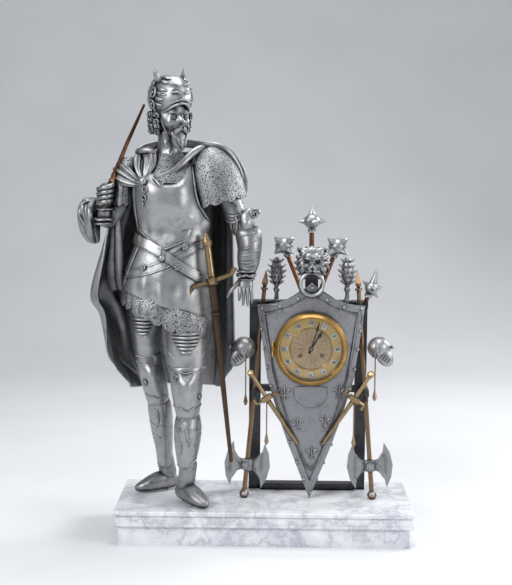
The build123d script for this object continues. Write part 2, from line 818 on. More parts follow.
def anchor():
    """Anchor on its arbor, with the crutch behind the back plate and its fork round the pendulum rod."""
    hub_x, hub_z = anchor_place
    pallet_r = escape_r + anchor_gap
    tip = (pallet_r / sqrt(2), escape_place[1] + pallet_r / sqrt(2))
    fork_x = pendulum_rod_r + bezel_gap
    with BuildPart() as piece:
        disc(anchor_place, arbor_r, inner_front_y + bezel_gap, back_plate_y - bezel_gap)
        disc(anchor_place, pivot_r, front_plate_y, rear_y + anchor_t * 1.5)
        with BuildSketch(clock_plane(escape_wheel_y + anchor_t)) as face:
            with BuildLine():
                Polyline(
                    tip,
                    (tip[0] + anchor_t, tip[1] + anchor_t * 0.4),
                    (tip[0] + anchor_t * 0.8, hub_z - anchor_t * 0.6),
                    (0, hub_z + anchor_t),
                    (-tip[0] - anchor_t * 0.8, hub_z - anchor_t * 0.6),
                    (-tip[0] - anchor_t, tip[1] + anchor_t * 0.4),
                    (-tip[0], tip[1]),
                    (-tip[0] + anchor_t * 0.6, hub_z - anchor_t * 1.6),
                    (tip[0] - anchor_t * 0.6, hub_z - anchor_t * 1.6),
                    close=True,
                )
            make_face()
        extrude(face.sketch, amount=anchor_t)
        crutch_y = rear_y + anchor_t * 0.5
        block((-arbor_r, arbor_r), (crutch_y, crutch_y + anchor_t), (hub_z - crutch_length, hub_z + arbor_r))
        block(
            (-fork_x - anchor_t, fork_x + anchor_t), (crutch_y, crutch_y + anchor_t),
            (hub_z - crutch_length - anchor_t, hub_z - crutch_length),
        )
        for side in (-1, 1):
            span = sorted((side * fork_x, side * (fork_x + anchor_t)))
            block(span, (crutch_y, suspension_y + pendulum_rod_r), (hub_z - crutch_length - anchor_t, hub_z - crutch_length))
    save(piece, "anchor")


def pendulum():
    """Pendulum: suspension spring, rod and a round brass bob with its rating nut."""
    hub_z = anchor_place[1]
    bob_z = hub_z - pendulum_length
    with BuildPart() as swing:
        block(
            (-pendulum_rod_r * 1.5, pendulum_rod_r * 1.5), (suspension_y - pivot_r / 2, suspension_y + pivot_r / 2),
            (hub_z - pendulum_rod_r * 4, hub_z + pendulum_rod_r * 3 - bezel_gap),
        )
        upright(0, suspension_y, pendulum_rod_r, bob_z - bob_r * 1.5, hub_z - pendulum_rod_r * 3)
        disc((0, bob_z), bob_r, suspension_y - bob_t / 2, suspension_y + bob_t / 2)
        upright(0, suspension_y, pendulum_rod_r * 2.4, bob_z - bob_r * 1.32, bob_z - bob_r * 1.12)
    save(swing, "pendulum")


def bell():
    """Bell: a shallow cup that opens towards the movement, on its post."""
    x, z = bell_place
    rim_y = bell_y - bell_h
    with BuildPart() as cup:
        with BuildSketch(Plane.YZ.offset(clock_x + x)) as profile:
            with BuildLine():
                Polyline(
                    (bell_y, dial_z + z + bell_post_r),
                    (bell_y, dial_z + z + bell_r * 0.5),
                    (bell_y - bell_h * 0.35, dial_z + z + bell_r * 0.86),
                    (rim_y, dial_z + z + bell_r),
                    (rim_y, dial_z + z + bell_r - bell_t),
                    (bell_y - bell_h * 0.35 - bell_t, dial_z + z + bell_r * 0.86 - bell_t),
                    (bell_y - bell_t, dial_z + z + bell_r * 0.5 - bell_t),
                    (bell_y - bell_t, dial_z + z + bell_post_r),
                    close=True,
                )
            make_face()
        revolve(profile.sketch, axis=Axis((clock_x + x, 0, dial_z + z), (0, 1, 0)))
    save(cup, "bell")


def hammer():
    """Bell hammer: arbor between the plates, arm and head just clear of the bell's rim."""
    reach = bell_r + hammer_r + bezel_gap * 2
    bearing = degrees(atan2(hammer_place[1] - bell_place[1], hammer_place[0] - bell_place[0])) + 6
    head = (bell_place[0] + reach * cos(radians(bearing)), bell_place[1] + reach * sin(radians(bearing)))
    rim_y = bell_y - bell_h
    with BuildPart() as piece:
        disc(hammer_place, arbor_r, inner_front_y + bezel_gap, back_plate_y - bezel_gap)
        disc(hammer_place, pivot_r, front_plate_y, rim_y)
        disc(hammer_place, arbor_r * 1.6, rear_y + bezel_gap, rim_y + hammer_r)
        disc(head, hammer_r, rim_y - hammer_r * 0.5, rim_y + hammer_r * 2)
        rod(
            (clock_x + hammer_place[0], rim_y + hammer_r * 0.5, dial_z + hammer_place[1]),
            (clock_x + head[0], rim_y + hammer_r * 0.5, dial_z + head[1]), arbor_r, arbor_r,
        )
    save(piece, "hammer")


# Motion work under the dial

minute_wheel_y = front_plate_y - wheel_t * 2
minute_pinion_y = minute_wheel_y - pinion_t * 0.6
hour_wheel_y = minute_pinion_y + wheel_t * 0.5


def cannon_pinion():
    with BuildPart() as cannon:
        disc((0, 0), cannon_r, minute_y, front_plate_y - bezel_gap)
        toothed(
            (0, 0), cannon_teeth, cannon_module, minute_wheel_bearing,
            minute_wheel_y - bezel_gap, front_plate_y - bezel_gap, True,
        )
        disc((0, 0), arbor_r, minute_y - overrun, front_plate_y + overrun, Mode.SUBTRACT)
    save(cannon, "cannon_pinion")


def minute_wheel():
    with BuildPart() as wheel:
        toothed(
            minute_place, minute_wheel_teeth, cannon_module, minute_wheel_bearing + 180 + 180 / minute_wheel_teeth,
            minute_wheel_y, minute_wheel_y + wheel_t,
        )
        toothed(
            minute_place, minute_pinion_teeth, hour_module, minute_wheel_bearing + 180,
            minute_pinion_y, minute_wheel_y, True,
        )
        disc(minute_place, pivot_r + pivot_fit, minute_pinion_y - overrun, front_plate_y, Mode.SUBTRACT)
    save(wheel, "minute_wheel")


def hour_wheel():
    with BuildPart() as wheel:
        disc((0, 0), hour_pipe_r, hour_y, hour_wheel_y + wheel_t)
        toothed(
            (0, 0), hour_wheel_teeth, hour_module, minute_wheel_bearing + 180 / hour_wheel_teeth,
            hour_wheel_y, hour_wheel_y + wheel_t,
        )
        disc((0, 0), cannon_r + pivot_fit, hour_y - overrun, front_plate_y, Mode.SUBTRACT)
    save(wheel, "hour_wheel")


shield_plate = shield()
drum_case()
back_door()
bezel()
bezel_glass()
dial_plate()
dial_cartouches()
hand("minute_hand", minute_length, minute_angle, minute_y, cannon_r, hand_w)
hand("hour_hand", hour_length, hour_angle, hour_y, hour_pipe_r, hand_w * 1.3)
front_plate()
back_plate()
barrel("going_barrel", going_place, going_bearing + 180, barrel_wheel_y)
barrel("strike_barrel", strike_place, 0, barrel_y - barrel_wheel_t)
winding_arbor("going_arbor", going_place)
winding_arbor("strike_arbor", strike_place)
centre_wheel()
third_wheel()
escape_wheel()
anchor()
pendulum()
bell()
hammer()
cannon_pinion()
minute_wheel()
hour_wheel()


# Knight: mail, legs and boots


def shell(rows, unit, wall, sides=16, power=2.3, mode=Mode.ADD):
    """Open hollow casting through level rings of the figure."""
    ring_loft(figure, rows, unit, sides, power, 0, False, mode)
    low = rows[0]
    high = rows[-1]
    reach = 0.002
    inner = [(low[0], low[1], low[2] - reach, low[3], low[4])]
    inner = inner + list(rows[1:-1])
    inner = inner + [(high[0], high[1], high[2] + reach, high[3], high[4])]
    ring_loft(figure, inner, unit, sides, power, wall, False, Mode.SUBTRACT)


tasset_shares = [
    (-0.0190, -0.004, 0.4800, 0.1040, 0.0790),
    (-0.0140, -0.004, 0.5114, 0.1000, 0.0760),
    (-0.0072, -0.003, 0.5654, 0.0950, 0.0700),
    (-0.0036, -0.001, 0.5920, 0.0915, 0.0650),
]
mail_skirt_shares = [
    (-0.0235, -0.004, 0.4430, 0.1060, 0.0800),
    (-0.0215, -0.004, 0.4600, 0.1040, 0.0780),
    (-0.0190, -0.004, 0.4800, 0.1010, 0.0760),
]
scallop_count = 22


def tassets():
    """Skirt plates below the waist: a bell-shaped hollow casting, floored where the legs join."""
    groove = plate_wall * 0.3
    floor = [tasset_shares[0], (-0.0185, -0.004, 0.4850, 0.1035, 0.0787)]
    with BuildPart() as skirt:
        shell(tasset_shares, figure_h, plate_wall)
        ring_loft(figure, floor, figure_h, 16, 2.3, plate_wall / 2)
        low = tasset_shares[0]
        high = tasset_shares[-1]
        for share in (-0.62, -0.2, 0.25, 0.66):
            depth = sqrt(1 - share ** 2)
            start = figure_point(low[0] + share * low[3], low[1] - depth * low[4], low[2] - groove / figure_h)
            end = figure_point(high[0] + share * high[3], high[1] - depth * high[4], high[2] + groove / figure_h)
            bar(start, end, groove, groove, 4, Mode.SUBTRACT)
    save(skirt, "tassets")


def scallops(rows, count, start, stop, unit, wall, sides=6):
    """Rounded tabs of mail along the lower ring of a sleeve or skirt."""
    low = rows[0]
    step = (stop - start) / count
    for i in range(count):
        a = radians(start + step * (i + 0.5))
        x = low[3] * cos(a) * unit
        y = low[4] * sin(a) * unit
        width = 0.5 * radians(step) * sqrt((low[3] * sin(a)) ** 2 + (low[4] * cos(a)) ** 2) * unit
        centre = figure_point(low[0], low[1], low[2]) + Vector(x, y, 0)
        normal = Vector(low[4] * cos(a), low[3] * sin(a), 0).normalized()
        plane = Plane(origin=centre - normal * wall, x_dir=Vector(0, 0, 1).cross(normal), z_dir=normal)
        with BuildSketch(plane) as tab:
            RegularPolygon(width * 1.05, sides * 2)
        extrude(tab.sketch, amount=wall)


def mail_skirt():
    """Mail below the skirt plates, with its scalloped hem."""
    with BuildPart() as mail:
        shell(mail_skirt_shares, figure_h, plate_wall)
        scallops(mail_skirt_shares, scallop_count, 0, 360, figure_h, plate_wall * 0.98)
    save(mail, "mail_skirt")
    return mail


# legs: his left leg stands forward at the viewer's right, his right leg back at the viewer's left
left_thigh_shares = [
    (0.0270, -0.0360, 0.3200, 0.0415, 0.0430),
    (0.0270, -0.0340, 0.3434, 0.0450, 0.0455),
    (0.0270, -0.0280, 0.3854, 0.0485, 0.0480),
    (0.0280, -0.0220, 0.4318, 0.0490, 0.0490),
    (0.0290, -0.0180, 0.4800, 0.0420, 0.0460),
]
right_thigh_shares = [
    (-0.0640, 0.0240, 0.3300, 0.0310, 0.0350),
    (-0.0680, 0.0235, 0.3506, 0.0320, 0.0380),
    (-0.0710, 0.0220, 0.3992, 0.0360, 0.0430),
    (-0.0720, 0.0190, 0.4478, 0.0400, 0.0460),
    (-0.0700, 0.0140, 0.4800, 0.0380, 0.0440),
]
left_knee_shares = [
    (0.0280, -0.0385, 0.2200, 0.0350, 0.0370),
    (0.0258, -0.0420, 0.2493, 0.0395, 0.0430),
    (0.0250, -0.0460, 0.2808, 0.0425, 0.0475),
    (0.0262, -0.0400, 0.3200, 0.0400, 0.0420),
]
right_knee_shares = [
    (-0.0485, 0.0280, 0.2360, 0.0330, 0.0360),
    (-0.0560, 0.0230, 0.2659, 0.0340, 0.0400),
    (-0.0605, 0.0210, 0.3029, 0.0350, 0.0420),
    (-0.0636, 0.0240, 0.3300, 0.0325, 0.0370),
]
left_greave_shares = [
    (0.0318, -0.0500, 0.0850, 0.0245, 0.0270),
    (0.0310, -0.0480, 0.1077, 0.0265, 0.0300),
    (0.0306, -0.0430, 0.1497, 0.0320, 0.0380),
    (0.0300, -0.0390, 0.1918, 0.0365, 0.0430),
    (0.0284, -0.0380, 0.2200, 0.0340, 0.0365),
]
right_greave_shares = [
    (-0.0337, 0.0450, 0.0860, 0.0190, 0.0220),
    (-0.0334, 0.0430, 0.1061, 0.0210, 0.0250),
    (-0.0364, 0.0380, 0.1523, 0.0265, 0.0330),
    (-0.0393, 0.0320, 0.1983, 0.0320, 0.0380),
    (-0.0470, 0.0285, 0.2360, 0.0325, 0.0350),
]


def leg_pieces(label, tables, neighbours=()):
    """A pair of leg pieces, one solid for each leg."""
    with BuildPart() as pair:
        for rows in tables:
            ring_loft(figure, rows, figure_h, 12, 2.2)
        for neighbour in neighbours:
            add(neighbour.part, mode=Mode.SUBTRACT)
    with BuildPart() as kept:
        add(pair.part.solids().sort_by(SortBy.VOLUME)[-len(tables):])
    save(kept, label)


def knee_cops():
    """Knee cops: each with a scroll on both sides and a pointed wing over the knee."""
    with BuildPart() as pair:
        for rows in (left_knee_shares, right_knee_shares):
            ring_loft(figure, rows, figure_h, 12, 2.2)
            x, y, z, half, depth = rows[2]
            for side in (-1, 1):
                start = figure_point(x + side * half * 0.55, y - depth * 0.7, z)
                end = figure_point(x + side * half * 0.6, y - depth * 1.12, z)
                bar(start, end, figure_h * 0.013, figure_h * 0.009, 8)
    save(pair, "knee_cops")


# boots: heel, instep and pointed toe of each, along the foot's own direction
left_boot_shares = [
    (0.0060, -0.0160, 0.0260, 0.0200, 0.0260),
    (0.0180, -0.0360, 0.0330, 0.0260, 0.0330),
    (0.0380, -0.0640, 0.0240, 0.0270, 0.0240),
    (0.0600, -0.0900, 0.0150, 0.0220, 0.0150),
    (0.0790, -0.1110, 0.0090, 0.0080, 0.0080),
]
right_boot_shares = [
    (-0.0080, 0.0680, 0.0250, 0.0180, 0.0250),
    (-0.0260, 0.0590, 0.0330, 0.0240, 0.0330),
    (-0.0520, 0.0480, 0.0240, 0.0255, 0.0240),
    (-0.0800, 0.0370, 0.0150, 0.0210, 0.0150),
    (-0.1040, 0.0290, 0.0090, 0.0080, 0.0080),
]
left_shaft_shares = [
    (0.0180, -0.0420, 0.0300, 0.0250, 0.0290),
    (0.0290, -0.0480, 0.0600, 0.0250, 0.0280),
    (0.0318, -0.0500, 0.0850, 0.0265, 0.0290),
]
right_shaft_shares = [
    (-0.0290, 0.0560, 0.0300, 0.0230, 0.0270),
    (-0.0330, 0.0480, 0.0600, 0.0200, 0.0240),
    (-0.0337, 0.0450, 0.0860, 0.0210, 0.0240),
]


def boots():
    """Pointed boots with low heels, bored for the tie rods."""
    with BuildPart() as pair:
        for rows in (left_boot_shares, right_boot_shares):
            sections = []
            heel = figure_point(rows[0][0], rows[0][1], 0)
            toe = figure_point(rows[-1][0], rows[-1][1], 0)
            along = (toe - heel).normalized()
            for x, y, z, half, rise in rows:
                plane = Plane(origin=figure_point(x, y, 0), x_dir=Vector(0, 0, 1).cross(along), z_dir=along)
                with BuildSketch(plane) as section:
                    Polygon(
                        (-half * figure_h * 0.8, 0),
                        (half * figure_h * 0.8, 0),
                        (half * figure_h, rise * figure_h * 0.6),
                        (half * figure_h * 0.6, rise * figure_h * 1.6),
                        (0, rise * figure_h * 2),
                        (-half * figure_h * 0.6, rise * figure_h * 1.6),
                        (-half * figure_h, rise * figure_h * 0.6),
                    )
                sections.append(section.sketch)
            loft(sections, ruled=True)
        for rows in (left_shaft_shares, right_shaft_shares):
            ring_loft(figure, rows, figure_h, 12, 2.2)
        for x, y in rod_places[:2]:
            with BuildSketch(Plane.XY.offset(base_h)) as bore:
                with Locations((x, y)):
                    Circle(rod_r + pivot_fit)
            extrude(bore.sketch, amount=rod_reach + bezel_gap, mode=Mode.SUBTRACT)
    save(pair, "boots")


# Knight: head and helmet, in a frame turned towards the viewer's right

head_share = (-0.0120, -0.0140, 0.8980)
head_frame = Plane(
    origin=figure_point(*head_share),
    x_dir=(cos(radians(head_turn)), sin(radians(head_turn)), 0),
    z_dir=(0, 0, 1),
)
head_shares = [
    (0.0000, 0.0060, -0.0800, 0.0260, 0.0280),
    (0.0000, 0.0060, -0.0450, 0.0250, 0.0280),
    (0.0000, -0.0040, -0.0360, 0.0260, 0.0400),
    (0.0000, -0.0050, -0.0180, 0.0330, 0.0470),
    (0.0000, -0.0020, 0.0080, 0.0370, 0.0480),
    (0.0000, 0.0000, 0.0320, 0.0380, 0.0490),
    (0.0000, 0.0020, 0.0560, 0.0310, 0.0400),
    (0.0000, 0.0030, 0.0680, 0.0160, 0.0200),
]
hair_shares = [
    (0.0000, 0.0240, -0.0300, 0.0300, 0.0200),
    (0.0000, 0.0200, -0.0100, 0.0450, 0.0300),
    (0.0000, 0.0180, 0.0200, 0.0430, 0.0330),
]
beard_shares = [
    (0.0000, -0.0480, -0.0760, 0.0020, 0.0020),
    (0.0000, -0.0440, -0.0600, 0.0120, 0.0100),
    (0.0000, -0.0340, -0.0400, 0.0210, 0.0170),
    (0.0000, -0.0300, -0.0220, 0.0250, 0.0200),
]
nose_shares = [
    (0.0000, -0.0500, -0.0060, 0.0065, 0.0100),
    (0.0000, -0.0480, 0.0020, 0.0050, 0.0090),
    (0.0000, -0.0440, 0.0160, 0.0030, 0.0050),
]
helmet_shares = [
    (0.0000, 0.0080, 0.0150, 0.0500, 0.0560),
    (0.0000, 0.0040, 0.0300, 0.0510, 0.0600),
    (0.0000, 0.0020, 0.0500, 0.0480, 0.0580),
    (0.0000, 0.0040, 0.0720, 0.0390, 0.0480),
    (0.0000, 0.0060, 0.0870, 0.0240, 0.0300),
    (0.0000, 0.0060, 0.0940, 0.0080, 0.0100),
]


with BuildPart() as head_solid:
    ring_loft(head_frame, head_shares, figure_h, 12, 2.1)
    ring_loft(head_frame, hair_shares, figure_h, 10, 2.1)
    ring_loft(head_frame, beard_shares, figure_h, 8, 2.0)
    ring_loft(head_frame, nose_shares, figure_h, 6, 2.0)


def head():
    """Head with its neck, hair and pointed beard, seated in the collar and under the helmet."""
    with BuildPart() as piece:
        add(head_solid.part)
        add(torso.part, mode=Mode.SUBTRACT)
    save(piece, "head")


def helmet():
    """Helmet shaped as a beast's head: domed skull, peak, two ears and a horn."""
    ear = figure_h * 0.013
    with BuildPart() as piece:
        ring_loft(head_frame, helmet_shares, figure_h, 14, 2.2)
        for side, reach in ((-1, 0.1080), (1, 0.1010)):
            start = head_frame.from_local_coords(Vector(side * 0.024, 0.004, 0.070) * figure_h)
            end = head_frame.from_local_coords(Vector(side * 0.030, 0.002, reach) * figure_h)
            bar(start, end, ear, ear * 0.25, 6)
        snout = head_frame.from_local_coords(Vector(0, -0.050, 0.052) * figure_h)
        peak = head_frame.from_local_coords(Vector(0, -0.072, 0.030) * figure_h)
        bar(snout, peak, ear * 1.6, ear * 0.8, 6)
        add(head_solid.part, mode=Mode.SUBTRACT)
    save(piece, "helmet")


# Knight: arms, hands and what they carry

right_sleeve_shares = [
    (-0.1270, -0.0120, 0.6900, 0.0240, 0.0300),
    (-0.1240, -0.0080, 0.7100, 0.0260, 0.0330),
    (-0.1180, 0.0000, 0.7448, 0.0290, 0.0370),
    (-0.1020, 0.0050, 0.7796, 0.0310, 0.0380),
    (-0.0700, 0.0060, 0.7980, 0.0260, 0.0330),
]
left_sleeve_shares = [
    (0.1080, -0.0110, 0.7080, 0.0420, 0.0440),
    (0.1030, -0.0080, 0.7352, 0.0430, 0.0460),
    (0.0960, -0.0040, 0.7699, 0.0400, 0.0440),
    (0.0780, 0.0010, 0.7928, 0.0330, 0.0380),
    (0.0560, 0.0040, 0.8050, 0.0220, 0.0300),
]
left_arm_shares = [
    (0.1655, -0.0330, 0.5300, 0.0215, 0.0215),
    (0.1664, -0.0310, 0.5561, 0.0245, 0.0250),
    (0.1709, -0.0290, 0.5863, 0.0295, 0.0290),
    (0.1694, -0.0270, 0.6210, 0.0290, 0.0300),
    (0.1640, -0.0240, 0.6500, 0.0265, 0.0290),
    (0.1520, -0.0200, 0.6800, 0.0270, 0.0290),
    (0.1390, -0.0180, 0.7080, 0.0270, 0.0290),
    (0.1250, -0.0140, 0.7300, 0.0270, 0.0290),
]
right_arm_shares = [
    (-0.1700, -0.0330, 0.6480, 0.0220, 0.0230),
    (-0.1600, -0.0350, 0.6750, 0.0225, 0.0240),
    (-0.1450, -0.0300, 0.6850, 0.0230, 0.0260),
    (-0.1300, -0.0180, 0.7000, 0.0225, 0.0280),
]


with BuildPart() as right_sleeve_solid:
    ring_loft(figure, right_sleeve_shares, figure_h, 12, 2.1)

with BuildPart() as left_sleeve_solid:
    ring_loft(figure, left_sleeve_shares, figure_h, 12, 2.1)

with BuildPart() as left_arm_solid:
    ring_loft(figure, left_arm_shares, figure_h, 12, 2.1)


def finish(piece, label, neighbours=()):
    """Cuts the neighbours out of a casting, keeps its main body and saves it."""
    with BuildPart() as cast:
        add(piece.part)
        for neighbour in neighbours:
            add(neighbour.part, mode=Mode.SUBTRACT)
    body = cast.part.solids().sort_by(SortBy.VOLUME)[-1]
    with BuildPart() as kept:
        add(body)
    save(kept, label)
    return kept


def mail_sleeves(neighbours):
    """Mail sleeves with scalloped hems, seated against the breastplate's arm holes."""
    bodies = []
    for solid, rows in ((left_sleeve_solid, left_sleeve_shares), (right_sleeve_solid, right_sleeve_shares)):
        with BuildPart() as sleeve:
            add(solid.part)
            scallops(rows, 12, 0, 360, figure_h, plate_wall)
            for neighbour in neighbours:
                add(neighbour.part, mode=Mode.SUBTRACT)
        bodies.append(sleeve.part.solids().sort_by(SortBy.VOLUME)[-1])
    with BuildPart() as pair:
        for body in bodies:
            add(body)
    save(pair, "mail_sleeves")
    return pair


def elbow_cop():
    """Elbow cop: a plate on the outside of the elbow with a raised scroll."""
    centre = figure_point(0.176, -0.036, 0.672)
    out = Vector(0.45, -0.9, 0)
    reach = figure_h * 0.030
    with BuildPart() as piece:
        bar(centre - out * reach * 0.6, centre + out * reach * 0.55, figure_h * 0.030, figure_h * 0.026, 10)
        bar(centre + out * reach * 0.5, centre + out * reach * 0.9, figure_h * 0.014, figure_h * 0.011, 8)
    return piece


left_hand_shares = [
    (0.1600, -0.0330, 0.4900, 0.0235, 0.0110),
    (0.1620, -0.0330, 0.5080, 0.0240, 0.0130),
    (0.1640, -0.0330, 0.5200, 0.0200, 0.0150),
    (0.1655, -0.0330, 0.5300, 0.0235, 0.0235),
]
# across, height and sideways lean of each finger's tip
finger_shares = [
    (0.1430, 0.4720, -0.004),
    (0.1540, 0.4640, -0.002),
    (0.1650, 0.4650, 0.001),
    (0.1760, 0.4760, 0.004),
]


def left_hand():
    """Open left hand in its cuff, fingers pointing down."""
    finger_r = figure_h * 0.0068
    with BuildPart() as hand_piece:
        ring_loft(figure, left_hand_shares, figure_h, 10, 2.6)
        for x, z, lean in finger_shares:
            bar(figure_point(x, -0.0330, 0.4960), figure_point(x + lean, -0.0350, z), finger_r, finger_r * 0.66, 6)
        bar(figure_point(0.1440, -0.036, 0.5060), figure_point(0.1200, -0.040, 0.4880), finger_r * 1.1, finger_r * 0.7, 6)
    save(hand_piece, "left_hand")
    return hand_piece


carried_grip = figure_point(-0.1640, -0.0560, 0.6700)
carried_tip = figure_point(-0.0640, 0.0480, 0.9620)
carried_r = figure_h * 0.0095
carried_tip_r = figure_h * 0.0055
fist_shares = [
    (-0.1600, -0.0450, 0.7220, 0.0140, 0.0200),
    (-0.1600, -0.0450, 0.7120, 0.0220, 0.0260),
    (-0.1610, -0.0440, 0.6950, 0.0250, 0.0290),
    (-0.1640, -0.0410, 0.6750, 0.0240, 0.0270),
    (-0.1690, -0.0360, 0.6600, 0.0200, 0.0230),
]


def right_fist():
    """Right forearm, its cuff and the fist closed round the carried sword's grip."""
    with BuildPart() as piece:
        ring_loft(figure, right_arm_shares, figure_h, 10, 2.1, 0, True)
        ring_loft(figure, fist_shares, figure_h, 10, 2.4)
    return piece


def carried_sword():
    """Sheathed sword carried over the right shoulder, with a collar above the fist."""
    along = (carried_tip - carried_grip).normalized()
    collar = carried_grip + along * figure_h * 0.1
    with BuildPart() as sword:
        rod(carried_grip, carried_tip, carried_r, carried_tip_r)
        rod(collar, collar + along * figure_h * 0.008, carried_r * 1.4, carried_r * 1.4)
    save(sword, "carried_sword")
    return sword


# Knight: belts, waist sword and cape

belt_half_share = 0.1000
belt_depth_share = 0.0745
# across and height of each rosette and of the clasp
rosette_shares = [
    (-0.018, 0.5760),
    (0.034, 0.6010),
    (0.020, 0.5530),
    (-0.064, 0.5570),
    (-0.066, 0.6000),
]


def belt(left_z, right_z):
    """Band round the waist, higher at one side than at the other."""
    sections = []
    tilt = atan2(right_z - left_z, 2 * belt_half_share)
    normal = Vector(-sin(tilt), 0, cos(tilt))
    middle = figure_point(-0.004, -0.001, (left_z + right_z) / 2)
    for lift in (-0.5, 0.5):
        origin = middle + normal * belt_h * lift
        with BuildSketch(Plane(origin=origin, x_dir=(cos(tilt), 0, sin(tilt)), z_dir=normal)) as ring:
            Polygon(*oval(belt_half_share * figure_h, belt_depth_share * figure_h, 18, 2.3))
        sections.append(ring.sketch)
    loft(sections, ruled=True)


def belts():
    """Two crossed sword belts with rosettes and a round clasp at the front."""
    with BuildPart() as pair:
        belt(0.6050, 0.5450)
        belt(0.5500, 0.6000)
        for x, z in rosette_shares:
            depth = belt_depth_share * sqrt(1 - ((x + 0.004) / belt_half_share) ** 2)
            start = figure_point(x, -depth - 0.001, z)
            bar(start + Vector(0, belt_t, 0), start - Vector(0, belt_t, 0), rosette_r, rosette_r * 0.7, 8)
    return pair


with BuildPart() as tasset_solid:
    ring_loft(figure, tasset_shares, figure_h, 16, 2.3)

hilt_top = figure_point(0.0722, -0.0560, 0.6383)
hilt_guard = figure_point(0.0870, -0.0640, 0.5280)
scabbard_tip = figure_point(0.1325, -0.0500, 0.1000)


def sword_hilt():
    """Waist sword's hilt: pommel, grip and a guard with curled quillons."""
    grip_r = figure_h * 0.0075
    down = (hilt_guard - hilt_top).normalized()
    side = figure_h * 0.045
    with BuildPart() as hilt:
        rod(hilt_top, hilt_top + down * figure_h * 0.02, grip_r * 0.5, grip_r * 1.6)
        rod(hilt_top + down * figure_h * 0.02, hilt_top + down * figure_h * 0.034, grip_r * 1.6, grip_r)
        rod(hilt_top + down * figure_h * 0.034, hilt_guard, grip_r, grip_r)
        bar(hilt_guard - down * grip_r, hilt_guard + down * grip_r, grip_r * 2, grip_r * 1.6, 6)
        left = hilt_guard + Vector(-side, -grip_r * 0.5, -grip_r * 1.8)
        right = hilt_guard + Vector(side, -grip_r * 0.5, grip_r * 2.4)
        bar(hilt_guard, left, grip_r * 0.8, grip_r * 0.6, 6)
        bar(left, left + Vector(-grip_r, 0, -grip_r * 2), grip_r * 0.6, grip_r * 0.9, 6)
        bar(hilt_guard, right, grip_r * 0.8, grip_r * 0.6, 6)
        bar(right, right + Vector(grip_r, 0, grip_r * 2), grip_r * 0.6, grip_r * 0.9, 6)
        add(tasset_solid.part, mode=Mode.SUBTRACT)
    save(hilt, "sword_hilt")
    return hilt


def scabbard():
    """Long tapering scabbard with a locket band."""
    grip_r = figure_h * 0.0075
    down = (scabbard_tip - hilt_guard).normalized()
    length = (scabbard_tip - hilt_guard).length
    start = hilt_guard + down * grip_r
    with BuildPart() as sheath:
        bar(start, scabbard_tip, grip_r * 1.15, grip_r * 0.6, 8)
        bar(start + down * length * 0.15, start + down * length * 0.165, grip_r * 1.5, grip_r * 1.45, 8)
    return sheath


# height, middle across, middle in depth, half width, half depth, then the first and last angle
cape_levels_shares = [
    (0.8100, -0.010, 0.010, 0.0850, 0.0620, -8.0, 188.0),
    (0.7650, -0.010, 0.010, 0.1180, 0.0850, -4.0, 186.0),
    (0.7000, -0.008, 0.008, 0.1330, 0.0950, 4.0, 184.0),
    (0.6000, -0.022, 0.008, 0.1480, 0.1050, 6.0, 186.0),
    (0.4900, -0.036, 0.008, 0.1640, 0.1130, 8.0, 190.0),
    (0.4400, -0.022, 0.010, 0.1520, 0.1180, 6.0, 188.0),
    (0.3400, -0.014, 0.014, 0.1430, 0.1160, 4.0, 182.0),
    (0.2700, 0.0000, 0.020, 0.1250, 0.1050, 20.0, 160.0),
]
cape_points = 14
fold_share = 0.018


def cape_ring(level):
    """Closed crescent of the cape at one height, with shallow upright folds."""
    half = level[3] * figure_h
    depth = level[4] * figure_h
    outer = []
    inner = []
    for i in range(cape_points + 1):
        a = radians(level[5] + (level[6] - level[5]) * i / cape_points)
        ripple = 1 + fold_share * (1 if i % 2 else -1)
        outer.append((half * cos(a) * ripple, depth * sin(a) * ripple))
        inner.append(((half * ripple - cape_t) * cos(a), (depth * ripple - cape_t) * sin(a)))
    return outer + inner[::-1]


def cape():
    """Cape down the back from the shoulders to the calves, cast in one with its folds."""
    sections = []
    with BuildPart() as cloak:
        for level in cape_levels_shares:
            with BuildSketch(Plane(origin=figure_point(level[1], level[2], level[0]), z_dir=(0, 0, 1))) as ring:
                Polygon(*cape_ring(level))
            sections.append(ring.sketch)
        loft(sections, ruled=True)
    return cloak


bundle_shares = [
    (-0.2080, 0.0050, 0.5900, 0.0120, 0.0140),
    (-0.2080, 0.0040, 0.6200, 0.0260, 0.0330),
    (-0.2070, 0.0000, 0.6550, 0.0300, 0.0400),
    (-0.2000, -0.0020, 0.6900, 0.0280, 0.0400),
    (-0.1850, 0.0000, 0.7150, 0.0220, 0.0320),
    (-0.1700, 0.0020, 0.7300, 0.0100, 0.0140),
]


def cape_bundle():
    """Gathered end of the cape, thrown over the right forearm."""
    with BuildPart() as bundle:
        ring_loft(figure, bundle_shares, figure_h, 12, 2.1)
    return bundle


collar_cape_shares = [
    (-0.0120, 0.004, 0.8060, 0.0820, 0.0640),
    (-0.0110, 0.005, 0.8250, 0.0700, 0.0560),
    (-0.0090, 0.006, 0.8400, 0.0560, 0.0480),
]
collar_bore_shares = [
    (-0.0100, -0.004, 0.8000, 0.0640, 0.0560),
    (-0.0100, -0.004, 0.8450, 0.0400, 0.0380),
]


def shoulder_cape():
    """Rolled collar of the cape round the neck."""
    with BuildPart() as collar:
        ring_loft(figure, collar_cape_shares, figure_h, 16, 2.1)
        ring_loft(figure, collar_bore_shares, figure_h, 16, 2.1, 0, False, Mode.SUBTRACT)
    return collar


